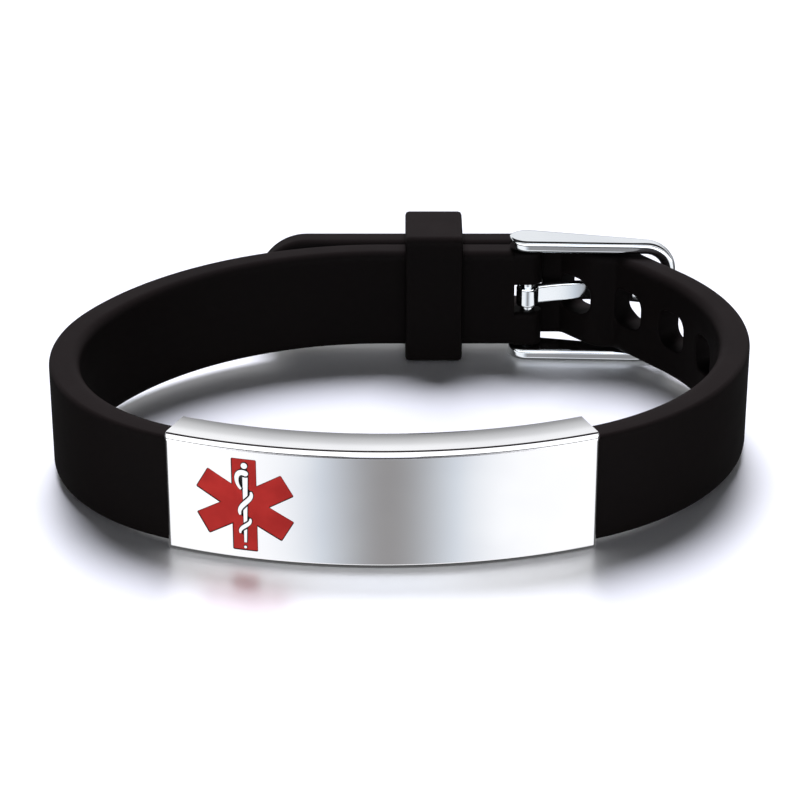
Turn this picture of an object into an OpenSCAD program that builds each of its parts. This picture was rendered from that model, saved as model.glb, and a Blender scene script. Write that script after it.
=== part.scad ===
/* [Plate] */
// Length of the plate across its front face, end to end
plate_l = 40; // [30:0.5:44]
// Height of the steel above and below the strap
plate_rim = 0.6; // [0.5:0.05:2]
// Thickness of the steel in front of the strap
front_wall = 0.6; // [0.5:0.05:1.2]
// Thickness of the steel behind the strap
back_wall = 0.35; // [0.3:0.05:1]
// Radius of the plate's front face
plate_r = 52; // [45:1:70]
// Width of the bevels along the top and bottom of the front face
plate_bevel = 0.5; // [0.2:0.05:0.55]
// Width of the bevels down the two ends of the front face
end_bevel = 0.3; // [0.1:0.05:0.5]
// Gap all round between the strap and the slot it runs through
slot_gap = 0.08; // [0.05:0.01:0.12]

/* [Emblem] */
// Height of the star
star_h = 9.4; // [7:0.1:9.6]
// Width of each bar of the star
star_bar = 2.4; // [2:0.05:3]
// Distance of the star's centre from the plate's centre, along the front face
star_offset = 12.7; // [8:0.1:13]
// Depth of the recess that holds the enamel
recess_d = 0.3; // [0.2:0.05:0.35]
// Radius of the star's outer corners
star_corner_r = 0.15; // [0.05:0.05:0.3]
// Gap between the enamel and the steel round and under it
enamel_gap = 0.07; // [0.03:0.01:0.08]
// Width of the staff at its top
staff_w = 0.5; // [0.35:0.05:0.55]
// Width of the empty grooves that part the serpent from the staff
groove_w = 0.15; // [0.1:0.01:0.18]

/* [Strap] */
// Width of the strap, which stands on its edge
strap_w = 10.8; // [8:0.1:11]
// Thickness of the strap
strap_t = 3; // [2.3:0.1:3.2]
// Radius along the strap's four long edges
strap_edge_r = 0.45; // [0.2:0.05:0.8]
// Radius of the strap's first bend on the right, which sets the other bends
bend_r = 25.9; // [24:0.1:32]
// Length of the free end past the keeper's left side
free_end_l = 16; // [10:0.1:18]

/* [Adjusting holes] */
// Length of each hole along the strap
hole_l = 4.4; // [4.2:0.1:5.4]
// Height of each hole across the strap
hole_h = 4; // [3:0.1:5]
// Radius of each hole's corners
hole_r = 1.4; // [0.5:0.1:1.4]
// Distance from one hole to the next
hole_pitch = 7.3; // [6.5:0.1:8]
// Holes between the one in use and the tip
holes_to_tip = 3; // [1:1:3]
// Holes between the one in use and the plate
holes_to_plate = 3; // [1:1:4]

/* [Buckle] */
// Distance from the spring bar to the hole in use
bar_to_hole = 6; // [5.5:0.1:6.5]
// Diameter of the spring bar
bar_d = 1.5; // [1.2:0.1:1.6]
// Length of the frame from the spring bar to the front bar
frame_l = 15; // [14:0.1:16]
// Diameter of the frame's front bar
front_bar_d = 1.4; // [1.2:0.1:2]
// Gap between the strap and the front bar it passes inside
front_gap = 1.2; // [0.3:0.1:1.6]
// Diameter of the frame's rounded lugs
lug_d = 4; // [3:0.1:4.6]
// Thickness of the frame's two rails
rail_t = 1.25; // [0.8:0.05:1.6]
// Outer radius of the frame's two front corners
frame_corner_r = 3.1; // [2:0.1:3.6]
// Gap between the strap's edges and the rails
rail_gap = 0.2; // [0.1:0.05:0.3]
// Width of the tongue
tongue_w = 2.1; // [1.6:0.1:2.4]
// Thickness of the tongue
tongue_t = 0.85; // [0.6:0.05:1]
// Room above and below the tongue in the strap's notch, and half as much beside its loop
notch_room = 0.55; // [0.3:0.05:0.8]
// Gap between metal parts that turn or rest on each other
metal_gap = 0.05; // [0.03:0.01:0.1]

/* [Keeper] */
// Width of the keeper along the strap
keeper_w = 6.1; // [4:0.1:8]
// Thickness of the keeper's wall
keeper_wall = 1.25; // [0.8:0.05:1.6]
// Spare height in the keeper above the strap
keeper_play = 0.8; // [0:0.1:1.2]
// Distance from the spring bar to the keeper's middle
keeper_to_bar = 10.1; // [8:0.1:12]
// Gap between the keeper and the strap layers it holds
keeper_gap = 0.1; // [0.06:0.01:0.2]
// Gap between the two strap layers
layer_gap = 0.2; // [0.15:0.05:0.4]

/* [Hidden] */
$fn = 96;
round_fn = 24;
past = 1;
bend_step = 4;

// Bends of the strap from the plate's ends, each as
// [share of bend_r, share of the turn from the plate's end to the straight that follows]
RIGHT_BENDS = [[1, 0.38], [0.917, 0.62]];
LEFT_BENDS = [[0.753, 0.603], [1.257, 0.397]];

// Headings in degrees from the plate's middle, where the strap runs along +X
free_heading = 127;
cross_heading = 130;
back_heading = 180;

// The small bends and stretches beside the buckle follow the strap's thickness
knee_r = 0.8 * strap_t;
cross_r = 0.67 * strap_t;
knee_dip = 0.28 * strap_t;

plate_h = strap_w + 2 * plate_rim;
centre_r = plate_r - front_wall - slot_gap - strap_t / 2;
back_r = centre_r - strap_t / 2 - slot_gap - back_wall;
plate_half = asin(plate_l / 2 / plate_r);
layer_step = strap_t + layer_gap;
loop_wall = 0.4;
tip_d = 0.6 * bar_d;
tip_l = 0.55 * rail_t;

// A stretch is [radius, turn, length]: radius 0 is straight, a negative radius turns right
function bend(r, turn) = [r, turn, abs(r) * turn * PI / 180];
function run(length) = [0, 0, length];
function turns(table, total) = [for (row = table) bend(row[0] * bend_r, row[1] * total)];

// A place is [x, y, heading]; this one moves a place along part of a stretch
function along(place, stretch, length) =
    stretch[0] == 0
    ? [place.x + length * cos(place.z), place.y + length * sin(place.z), place.z]
    : let (r = stretch[0], h = place.z + length / r * 180 / PI)
      [place.x + r * (sin(h) - sin(place.z)), place.y - r * (cos(h) - cos(place.z)), h];
function next(place, stretch) = along(place, stretch, stretch[2]);
function places(route, place = [0, 0, 0], i = 0) =
    i == len(route) ? [place] : concat([place], places(route, next(place, route[i]), i + 1));
function end_of(route) = places(route)[len(route)];
function length_of(route, i = 0) = i == len(route) ? 0 : route[i][2] + length_of(route, i + 1);
function place_at(route, s, place = [0, 0, 0], i = 0) =
    s <= route[i][2] || i == len(route) - 1
    ? along(place, route[i], s)
    : place_at(route, s - route[i][2], next(place, route[i]), i + 1);

// Places along a route, a few degrees apart round its bends
function samples(route) =
    let (p = places(route))
    concat([for (i = [0 : len(route) - 1])
        let (steps = max(1, ceil(route[i][1] / bend_step)))
        for (k = [0 : steps - 1]) along(p[i], route[i], route[i][2] * k / steps)],
        [end_of(route)]);

// The same places met from the other end of the route's mirror image
function mirrored_back(p) = [for (i = [len(p) - 1 : -1 : 0]) [-p[i].x, p[i].y, -p[i].z]];
function beside(place, reach) = [place.x + reach * sin(place.z), place.y - reach * cos(place.z)];

// The furthest reach along X, where a left-hand bend passes heading 90
function reach(route) =
    let (p = places(route))
    max([for (i = [0 : len(route) - 1])
        if (route[i][0] > 0 && p[i].z <= 90 && p[i + 1].z >= 90)
            p[i].x + route[i][0] * (1 - sin(p[i].z))]);

// Left half, drawn mirrored: plate, bends, then the straight back
left_bends = concat([bend(centre_r, plate_half)], turns(LEFT_BENDS, back_heading - plate_half));
back_y = end_of(left_bends).y;
outer_y = back_y + layer_step;

// Right half: inside the frame the strap dips past the buckle end's line, crosses to the
// layer outside it, and the free stretch takes up the length that makes the two meet
settle_turn = back_heading - cross_heading;
cross_rise = layer_step + knee_dip;
cross_half = (cross_rise / 2 - cross_r * (1 - cos(settle_turn))) / sin(settle_turn);
right_bends = concat([bend(centre_r, plate_half)], turns(RIGHT_BENDS, free_heading - plate_half));
buckle_run = [
    bend(knee_r, back_heading - free_heading),
    bend(-cross_r, settle_turn),
    run(2 * cross_half),
    bend(cross_r, settle_turn)
];
buckle_rise = places(buckle_run, [0, 0, free_heading])[len(buckle_run)].y;
free_l = (outer_y - buckle_rise - end_of(right_bends).y) / sin(free_heading);
right_route_bent = concat(right_bends, [run(free_l)], buckle_run);
to_knee = length_of(right_bends) + free_l;
to_used_hole = to_knee + buckle_run[0][2] + buckle_run[1][2] + cross_half;
used_hole = place_at(right_route_bent, to_used_hole);

bar_x = used_hole.x - bar_to_hole;
keeper_x = bar_x - keeper_to_bar;
tip_x = keeper_x - keeper_w / 2 - free_end_l;
settled = end_of(right_route_bent);
right_route = concat(right_route_bent, [run(settled.x - tip_x)]);
left_route = concat(left_bends, [run(bar_x + end_of(left_bends).x)]);

// The frame turns about the spring bar until its front bar clears the strap's free stretch
knee = place_at(right_route, to_knee);
front_off = strap_t / 2 + front_gap + front_bar_d / 2;
bar_off = (bar_x - knee.x) * sin(knee.z) - (back_y - knee.y) * cos(knee.z);
frame_turn = free_heading - 90 - acos((front_off - bar_off) / frame_l);
front_bar = [bar_x, back_y] + frame_l * [cos(frame_turn), sin(frame_turn)];
frame_h = strap_w + 2 * rail_gap + 2 * rail_t;

// The tongue's middle passes a little outside the middle of the hole in use, and at its
// far end leans forward where it rests on the front bar
tongue_lean = 30;
tongue_rise = front_bar_d / 2 + metal_gap + tongue_t / 2;
tongue_rest = front_bar + tongue_rise * [sin(tongue_lean), cos(tongue_lean)];
tongue_pass = [used_hole.x, used_hole.y + 0.3 * tongue_t];
loop_r = bar_d / 2 + metal_gap + loop_wall;

// The origin is the middle of the whole outline, on the surface it lies on
right_reach = reach(right_route) + strap_t / 2;
left_reach = reach(left_route) + strap_t / 2;
front_y = centre_r - plate_r;
rear_y = outer_y + strap_t / 2 + keeper_gap + keeper_wall;
mid_z = max(plate_h / 2, frame_h / 2, strap_w / 2 + keeper_gap + keeper_wall);
to_frame = [(left_reach - right_reach) / 2, -(front_y + rear_y) / 2, mid_z];

// A rectangle about the origin with rounded corners
module rounded(w, h, r) {
    square([w - 2 * r, h], center = true);
    square([w, h - 2 * r], center = true);
    for (x = [-1, 1], y = [-1, 1])
        translate([x * (w / 2 - r), y * (h / 2 - r)]) circle(r);
}

// The strap's section, drawn with its thickness along X; extra makes room all round it
function section(extra = 0) = [
    for (corner = [0 : 3], a = [0, 45, 90])
        let (sx = corner == 1 || corner == 2 ? -1 : 1, sy = corner > 1 ? -1 : 1, r = strap_edge_r + extra)
        [sx * (strap_t / 2 - strap_edge_r), sy * (strap_w / 2 - strap_edge_r)]
            + r * [cos(90 * corner + a), sin(90 * corner + a)]
];

// A closed skin over rings that each have the section's points
module skin(rings) {
    n = len(rings[0]);
    last = len(rings) - 1;
    polyhedron(
        points = [for (ring = rings) each ring],
        faces = concat(
            [[for (k = [0 : n - 1]) k]],
            [for (i = [0 : last - 1], k = [0 : n - 1])
                let (a = i * n + k, b = i * n + (k + 1) % n)
                each [[a, a + n, b + n], [a, b + n, b]]],
            [[for (k = [n - 1 : -1 : 0]) last * n + k]]
        )
    );
}

// A hole with rounded corners, cut square through the strap at a place on its route
module hole_cut(place) {
    translate([place.x, place.y, 0]) rotate(place.z) rotate([90, 0, 0])
        linear_extrude(strap_t + 2 * past, center = true) rounded(hole_l, hole_h, hole_r);
}

// Everything but what lies outside the half-round tip of the free end
module tip_room() {
    reach_all = 4 * bend_r + plate_l;
    tip_centre = tip_x + strap_w / 2;
    translate([tip_centre, outer_y, 0]) rotate([90, 0, 0])
        cylinder(r = strap_w / 2, h = strap_t + layer_gap, center = true);
    difference() {
        cube([reach_all, reach_all, strap_w + past], center = true);
        translate([tip_centre - strap_w, outer_y - (strap_t + layer_gap) / 2, -strap_w])
            cube([strap_w, strap_t + layer_gap, 2 * strap_w]);
    }
}

module strap() {
    notch_h = tongue_w + 2 * notch_room;
    notch_l = loop_r + notch_room / 2;
    // The buckle end thins to a round edge about the spring bar
    buckle_end = [for (a = [80 : -20 : 20]) [bar_x + strap_t / 2 * sin(a), back_y, -back_heading, cos(a)]];
    body = [for (p = concat(mirrored_back(samples(left_route)), samples(right_route))) [p.x, p.y, p.z, 1]];
    color([0.07, 0.065, 0.07]) translate(to_frame) difference() {
        intersection() {
            skin([for (p = concat(buckle_end, body))
                [for (c = section()) let (b = beside(p, c.x * p[3])) [b.x, b.y, c.y]]]);
            tip_room();
        }
        for (i = [-holes_to_tip : holes_to_plate])
            hole_cut(place_at(right_route, to_used_hole - i * hole_pitch));
        translate([bar_x, back_y, 0])
            cylinder(d = bar_d + 2 * metal_gap, h = strap_w + 2 * past, center = true);
        translate([bar_x - notch_l, back_y - strap_t / 2 - past, -notch_h / 2])
            cube([notch_l + strap_t, strap_t + past + layer_gap / 2, notch_h]);
    }
}

// Turns what is drawn about the middle of the plate's front face to the star's place
module at_star() {
    translate([0, centre_r, 0]) rotate(-star_offset / plate_r * 180 / PI)
        translate([0, -plate_r, 0]) rotate([90, 0, 0]) children();
}

module star() {
    offset(r = star_corner_r, $fn = round_fn) offset(delta = -star_corner_r)
        for (turn = [0, 60, 120])
            rotate(turn) square([star_bar, star_h], center = true);
}

// A cubic curve between the first and the last of four points
function curve(p, t) =
    pow(1 - t, 3) * p[0] + 3 * t * pow(1 - t, 2) * p[1] + 3 * t * t * (1 - t) * p[2] + pow(t, 3) * p[3];

// A point of the figure, given in shares of the bar's width and the star's height
function in_bar(p) = [p.x * star_bar, p.y * star_h];

// The serpent shows in three turns. Each is a curve through points of the figure, with its
// widths at the start, the middle and the end in shares of the staff's
SERPENT = [
    [[[0.059, 0.343], [-0.313, 0.383], [-0.396, 0.255], [-0.149, 0.178]], [1.1, 0.85, 0.45]],
    [[[0.274, 0.138], [0.396, 0.059], [-0.313, -0.005], [-0.184, -0.101]], [0.45, 0.9, 0.45]],
    [[[0.223, -0.154], [0.27, -0.218], [-0.231, -0.239], [-0.192, -0.305]], [0.4, 0.75, 0.4]]
];
function turn_width(w, t) =
    staff_w * (w[0] * pow(1 - t, 2) + (4 * w[1] - w[0] - w[2]) * t * (1 - t) + w[2] * t * t);

module serpent() {
    count = 14;
    for (piece = SERPENT) for (i = [1 : count]) hull() for (t = [(i - 1) / count, i / count])
        translate(in_bar(curve(piece[0], t))) circle(d = turn_width(piece[1], t), $fn = round_fn);
}

module staff() {
    top = in_bar([0.051, 0.302]);
    foot = in_bar([0.012, -0.41]);
    polygon([
        top - [staff_w / 2, 0], top + [staff_w / 2, 0], foot + [staff_w / 4, 0], foot - [staff_w / 4, 0]
    ]);
}

// The serpent passes in front of the staff, so a groove parts them
module entwined_staff() {
    difference() {
        staff();
        offset(r = groove_w, $fn = round_fn) serpent();
    }
    serpent();
    translate(in_bar([0.02, 0.425])) circle(0.6 * staff_w, $fn = round_fn);
}

module foot_dot() {
    translate(in_bar([0, -0.463])) circle(0.28 * staff_w, $fn = round_fn);
}

// The figure with its grooves and the bays beside the staff filled, and the gap round it
module figure_room() {
    bay_r = 0.1 * star_bar;
    offset(r = -bay_r, $fn = round_fn) offset(r = bay_r + enamel_gap, $fn = round_fn) entwined_staff();
    offset(r = enamel_gap, $fn = round_fn) foot_dot();
}

// A shell between two depths below the plate's front face
module front_shell(shallow, deep) {
    translate([0, centre_r, 0]) difference() {
        cylinder(r = plate_r - shallow, h = plate_h, center = true, $fn = 360);
        cylinder(r = plate_r - deep, h = plate_h + past, center = true, $fn = 360);
    }
}

module id_plate() {
    b = plate_bevel;
    color([0.8, 0.81, 0.84]) translate(to_frame) difference() {
        translate([0, centre_r, 0]) rotate(-90 - plate_half)
            rotate_extrude(angle = 2 * plate_half, $fn = 360) difference() {
                polygon([
                    [back_r, -plate_h / 2], [plate_r - b, -plate_h / 2],
                    [plate_r, b - plate_h / 2], [plate_r, plate_h / 2 - b],
                    [plate_r - b, plate_h / 2], [back_r, plate_h / 2]
                ]);
                translate([centre_r, 0]) polygon(section(slot_gap));
            }
        for (side = [-1, 1])
            translate([0, centre_r, 0]) rotate(side * plate_half) translate([0, -plate_r, 0])
                rotate(45) cube([end_bevel * sqrt(2), end_bevel * sqrt(2), plate_h + past], center = true);
        intersection() {
            front_shell(-past, recess_d);
            at_star() linear_extrude(4 * recess_d, center = true) difference() {
                star();
                entwined_staff();
                foot_dot();
            }
        }
    }
}

module star_enamel() {
    color([0.69, 0.16, 0.14]) translate(to_frame) intersection() {
        front_shell(enamel_gap, recess_d - enamel_gap);
        at_star() linear_extrude(4 * recess_d, center = true) difference() {
            offset(delta = -enamel_gap) star();
            figure_room();
        }
    }
}

module keeper() {
    hold_w = layer_step + strap_t + 2 * keeper_gap;
    hold_h = strap_w + 2 * keeper_gap + keeper_play;
    color([0.07, 0.065, 0.07]) translate(to_frame)
        translate([keeper_x - keeper_w / 2, (back_y + outer_y) / 2, keeper_play / 2]) rotate([90, 0, 90])
            linear_extrude(keeper_w) difference() {
                rounded(hold_w + 2 * keeper_wall, hold_h + 2 * keeper_wall, keeper_wall / 2);
                rounded(hold_w, hold_h, strap_edge_r);
            }
}

// Turns what is drawn along +X from the spring bar into line with the frame
module at_buckle() {
    translate(to_frame) translate([bar_x, back_y, 0]) rotate(frame_turn) children();
}

// Points round part of a circle, from one angle to another
function arc(centre, r, from, to, steps) =
    [for (i = [0 : steps]) let (a = from + (to - from) * i / steps) centre + r * [cos(a), sin(a)]];

// The rails seen from above: a lug and the front bar joined by their outer tangents
module rail_side() {
    r1 = lug_d / 2;
    r2 = front_bar_d / 2;
    a = 90 - asin((r1 - r2) / frame_l);
    polygon(concat(arc([0, 0], r1, a, 360 - a, 24), arc([frame_l, 0], r2, -a, a, 20)));
}

// A tall loop seen from the front, open past the lugs, with its far corners rounded
module frame_front(reach_x, h, r) {
    translate([-lug_d, -h / 2]) square([lug_d + reach_x - r, h]);
    translate([-lug_d, r - h / 2]) square([lug_d + reach_x, h - 2 * r]);
    for (side = [-1, 1])
        translate([reach_x - r, side * (h / 2 - r)]) circle(r);
}

module buckle_frame() {
    window_h = frame_h - 2 * rail_t;
    color([0.85, 0.86, 0.88]) at_buckle() difference() {
        intersection() {
            linear_extrude(frame_h, center = true) rail_side();
            rotate([90, 0, 0]) linear_extrude(2 * lug_d, center = true) difference() {
                frame_front(frame_l + front_bar_d / 2, frame_h, frame_corner_r);
                frame_front(frame_l - front_bar_d / 2, window_h, frame_corner_r - rail_t);
            }
        }
        cylinder(d = tip_d + 2 * metal_gap, h = window_h + 2 * (tip_l + metal_gap), center = true);
    }
}

module spring_bar() {
    window_h = frame_h - 2 * rail_t;
    color([0.8, 0.81, 0.83]) at_buckle() {
        cylinder(d = bar_d, h = window_h - 2 * metal_gap, center = true);
        cylinder(d = tip_d, h = window_h + 2 * tip_l, center = true);
    }
}

// The middle of the circle through three points
function circle_centre(a, b, c) =
    let (ab = b - a, ac = c - a, det = 2 * (ab.x * ac.y - ab.y * ac.x), b2 = ab * ab, c2 = ac * ac)
    a + [ac.y * b2 - ab.y * c2, ab.x * c2 - ac.x * b2] / det;

// The prong bows from the spring bar through the hole in use and over the front bar
module tongue() {
    start = [bar_x, back_y];
    centre = circle_centre(start, tongue_pass, tongue_rest);
    r = norm(start - centre);
    from = atan2(start.y - centre.y, start.x - centre.x);
    past_bar = front_bar_d / 2 / r * 180 / PI;
    to = atan2(tongue_rest.y - centre.y, tongue_rest.x - centre.x) - past_bar;
    steps = 16;
    color([0.85, 0.86, 0.88]) translate(to_frame) difference() {
        union() {
            translate([bar_x, back_y, 0]) cylinder(r = loop_r, h = tongue_w, center = true);
            linear_extrude(tongue_w, center = true) polygon(concat(
                arc(centre, r + tongue_t / 2, from, to, steps),
                arc(centre, r - tongue_t / 2, to, from, steps)));
        }
        translate([bar_x, back_y, 0])
            cylinder(d = bar_d + 2 * metal_gap, h = tongue_w + past, center = true);
    }
}

strap();
id_plate();
star_enamel();
keeper();
buckle_frame();
spring_bar();
tongue();
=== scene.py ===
"""Medical alert bracelet, fastened and lying on its edge.

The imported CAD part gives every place. Its silicone and buckle nodes are replaced by smooth surfaces
worked out with numpy, and the plate and enamel by welded copies that carry exact normals.
Sizes in the classes are in millimetres; meshes are made in metres.
"""

import logging
import math
from dataclasses import dataclass, field
from enum import Enum
from typing import Any, Sequence, Union

import bmesh
import bpy
import numpy as np
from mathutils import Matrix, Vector


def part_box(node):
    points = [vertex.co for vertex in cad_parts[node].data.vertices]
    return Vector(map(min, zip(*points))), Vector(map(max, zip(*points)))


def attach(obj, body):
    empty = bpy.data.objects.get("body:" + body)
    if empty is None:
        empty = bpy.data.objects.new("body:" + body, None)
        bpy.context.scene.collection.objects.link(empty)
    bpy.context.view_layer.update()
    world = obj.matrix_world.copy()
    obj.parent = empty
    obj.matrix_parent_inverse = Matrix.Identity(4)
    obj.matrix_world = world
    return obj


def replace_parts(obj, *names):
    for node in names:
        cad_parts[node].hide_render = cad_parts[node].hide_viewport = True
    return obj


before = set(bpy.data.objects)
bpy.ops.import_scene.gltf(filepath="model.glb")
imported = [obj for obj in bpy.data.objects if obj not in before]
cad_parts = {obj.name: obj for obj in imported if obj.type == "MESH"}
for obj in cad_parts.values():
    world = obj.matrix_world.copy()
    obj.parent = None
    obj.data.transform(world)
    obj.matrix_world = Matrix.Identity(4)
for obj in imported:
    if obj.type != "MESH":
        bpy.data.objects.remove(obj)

LOG = logging.getLogger("bracelet")
MM = 0.001
BODY = "root"
# Name of the face attribute that marks where shade and a dark reflection are painted on the plate.
PAINTED_DARK = "recess"
NEAR = 1e-6
WELD = 1e-7
SLIVER = 1e-8
TINY = 1e-9
MIX_LOW, MIX_HIGH, MIX_OUT = 6, 7, 2
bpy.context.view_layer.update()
Socket = bpy.types.NodeSocket
Triple = tuple[float, float, float]


# ---- shader maths


class Term:
    """One value of a node tree. Python's operators on it add Math nodes."""

    def __init__(self, sheet: "NodeSheet", socket: Socket) -> None:
        """Keeps the socket and the sheet its maths is written on.

        Args:
            sheet: the node tree's wrapper.
            socket: the output socket that this term stands for.
        """
        self.sheet = sheet
        self.socket = socket

    def __add__(self, other: "Number") -> "Term":
        """This term plus another."""
        return self.sheet.maths("ADD", self, other)

    def __radd__(self, other: "Number") -> "Term":
        """Another plus this term."""
        return self.sheet.maths("ADD", other, self)

    def __sub__(self, other: "Number") -> "Term":
        """This term less another."""
        return self.sheet.maths("SUBTRACT", self, other)

    def __rsub__(self, other: "Number") -> "Term":
        """Another less this term."""
        return self.sheet.maths("SUBTRACT", other, self)

    def __mul__(self, other: "Number") -> "Term":
        """This term times another."""
        return self.sheet.maths("MULTIPLY", self, other)

    def __rmul__(self, other: "Number") -> "Term":
        """Another times this term."""
        return self.sheet.maths("MULTIPLY", other, self)

    def __truediv__(self, other: "Number") -> "Term":
        """This term over another."""
        return self.sheet.maths("DIVIDE", self, other)

    def __rtruediv__(self, other: "Number") -> "Term":
        """Another over this term."""
        return self.sheet.maths("DIVIDE", other, self)

    def __pow__(self, other: "Number") -> "Term":
        """This term to a power."""
        return self.sheet.maths("POWER", self, other)

    def __neg__(self) -> "Term":
        """This term with its sign turned."""
        return self.sheet.maths("MULTIPLY", self, -1.0)

    def steps(self, low: float, high: float) -> "Term":
        """A smooth step of this term.

        Args:
            low: value at which the step starts, where the result is 0.
            high: value at which it ends, where the result is 1.

        Returns:
            The stepped term.
        """
        node = self.sheet.node(
            "ShaderNodeMapRange",
            {"interpolation_type": "SMOOTHSTEP"},
            {"Value": self, "From Min": low, "From Max": high},
        )
        return Term(self.sheet, node.outputs["Result"])

    def window(self, edges: Sequence[float]) -> "Term":
        """A smooth window that opens between the first two edges and shuts between the last two."""
        return self.steps(*edges[:2]) * (1 - self.steps(*edges[2:]))


Number = Union[Term, float]
Colour = Union[Socket, Sequence[float]]


class NodeSheet:
    """A node tree that is written as expressions."""

    def __init__(self, tree: bpy.types.NodeTree) -> None:
        """Clears the tree.

        Args:
            tree: the node tree of a material or of the world.
        """
        self.tree = tree
        tree.nodes.clear()

    def node(self, kind: str, settings: dict[str, Any] | None = None,
             values: dict[str, Any] | None = None) -> bpy.types.Node:
        """Makes any node.

        Args:
            kind: the node's type name.
            settings: attributes set first; "stops" gives a ramp's (place, colour) pairs.
            values: input sockets by name or number, each a constant, a Term or an output socket.

        Returns:
            The node.
        """
        made = self.tree.nodes.new(kind)
        for name, value in (settings or {}).items():
            if name == "stops":
                elements = made.color_ramp.elements
                while len(elements) < len(value):
                    elements.new(1.0)
                for element, (place, colour) in zip(elements, value):
                    element.position, element.color = place, colour
            else:
                setattr(made, name, value)
        for name, value in (values or {}).items():
            socket = made.inputs[name]
            if isinstance(value, Term):
                value = value.socket
            if isinstance(value, Socket):
                self.tree.links.new(value, socket)
            else:
                socket.default_value = value
        return made

    def maths(self, operation: str, *parts: Number) -> Term:
        """A Math node on terms and plain numbers.

        Args:
            operation: the node's operation.
            *parts: its one, two or three values.

        Returns:
            The result as a term.
        """
        made = self.node("ShaderNodeMath", {"operation": operation}, dict(enumerate(parts)))
        return Term(self, made.outputs[0])

    def place(self) -> Socket:
        """The Object coordinate of the point being shaded."""
        return self.node("ShaderNodeTexCoord").outputs["Object"]

    def stretched(self, scale: Sequence[float]) -> Socket:
        """Object coordinates scaled along each axis.

        Args:
            scale: the three scales.

        Returns:
            The scaled vector's socket.
        """
        values = {"Vector": self.place(), "Scale": tuple(scale)}
        return self.node("ShaderNodeMapping", {}, values).outputs[0]

    def noise(self, vector: Socket, scale: float, detail: float = 2.0) -> Term:
        """Fractal noise, about 0.5 on average.

        Args:
            vector: where it is read.
            scale: cells in a metre of that vector.
            detail: octaves.

        Returns:
            The noise as a term.
        """
        sockets = {"Vector": vector, "Scale": scale, "Detail": detail}
        made = self.node("ShaderNodeTexNoise", {}, sockets)
        return Term(self, made.outputs[0])

    def blend(self, share: Number, low: Colour, high: Colour, way: str = "MIX") -> Socket:
        """A colour made of two colours.

        Args:
            share: 0 for the first colour, 1 for the second.
            low: the first colour, three numbers or a socket.
            high: the second colour, in the same way.
            way: the Mix node's way of blending.

        Returns:
            The colour's socket.
        """
        ends = [c if isinstance(c, Socket) else (*c, 1.0) for c in (low, high)]
        settings = {"data_type": "RGBA", "blend_type": way}
        sockets = {"Factor": share, MIX_LOW: ends[0], MIX_HIGH: ends[1]}
        return self.node("ShaderNodeMix", settings, sockets).outputs[MIX_OUT]

    def stops(self, share: Term, *points: tuple[float, Sequence[float]]) -> Socket:
        """A colour read off a ramp.

        Args:
            share: where on the ramp, 0 to 1.
            *points: the ramp's places and colours, rising.

        Returns:
            The colour's socket.
        """
        marks = [(place, (*colour, 1.0)) for place, colour in points]
        return self.node("ShaderNodeValToRGB", {"stops": marks}, {"Fac": share}).outputs["Color"]

    def bump(self, height: Term, depth: float, strength: float) -> Socket:
        """A normal that is bumped by a height.

        Args:
            height: the height, 0 to 1.
            depth: what a height of 1 stands for, in metres.
            strength: how much of it shows.

        Returns:
            The normal's socket.
        """
        sockets = {"Height": height, "Distance": depth, "Strength": strength}
        made = self.node("ShaderNodeBump", {}, sockets)
        return made.outputs[0]


# ---- finishes


@dataclass(frozen=True)
class Recipe:
    """What the recipes of all finishes share."""

    def material(self, name: str) -> bpy.types.Material:
        """Makes the finish's material.

        Args:
            name: its name.

        Returns:
            The material.
        """
        made = bpy.data.materials.new(name)
        made.use_nodes = True
        sheet = NodeSheet(made.node_tree)
        shader = sheet.node("ShaderNodeBsdfPrincipled", {}, self.sockets(sheet))
        sheet.node("ShaderNodeOutputMaterial", {}, {"Surface": shader.outputs[0]})
        return made

    def sockets(self, sheet: NodeSheet) -> dict[str, Any]:
        """The values and links of the shader's sockets, which each finish gives."""
        raise NotImplementedError


@dataclass(frozen=True)
class Silicone(Recipe):
    """Moulded silicone rubber: near black, satin, with a fine matt grain and faint smears."""

    deep: Triple = (0.0076, 0.0058, 0.0054)
    worn: Triple = (0.0070, 0.0056, 0.0053)
    roughness: float = 0.50
    specular: float = 0.022
    smear_stretch: Triple = (1.0, 1.0, 2.5)
    smear_range: tuple[float, float] = (0.35, 0.75)
    smear_scale: float = 90.0
    cloud_scale: float = 420.0
    grain_scale: float = 7000.0
    smear_gloss: float = 0.16
    cloud_gloss: float = 0.10
    grain_share: float = 0.7
    grain_depth: float = 0.00003
    grain_strength: float = 0.25

    def sockets(self, sheet: NodeSheet) -> dict[str, Any]:
        """Smears change colour and gloss, clouds change the gloss, and the grain is bumped.

        Args:
            sheet: the material's nodes.

        Returns:
            The shader's sockets.
        """
        smears = sheet.noise(sheet.stretched(self.smear_stretch), self.smear_scale, 3.0)
        grain = sheet.noise(sheet.place(), self.grain_scale)
        clouds = sheet.noise(sheet.place(), self.cloud_scale)
        height = grain * self.grain_share + clouds * (1 - self.grain_share)
        dull = self.roughness + self.smear_gloss * (smears - 0.5)
        return {
            "Base Color": sheet.blend(smears.steps(*self.smear_range), self.deep, self.worn),
            "Roughness": dull + self.cloud_gloss * (clouds - 0.5),
            "Specular IOR Level": self.specular,
            "Normal": sheet.bump(height, self.grain_depth, self.grain_strength),
        }


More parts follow.
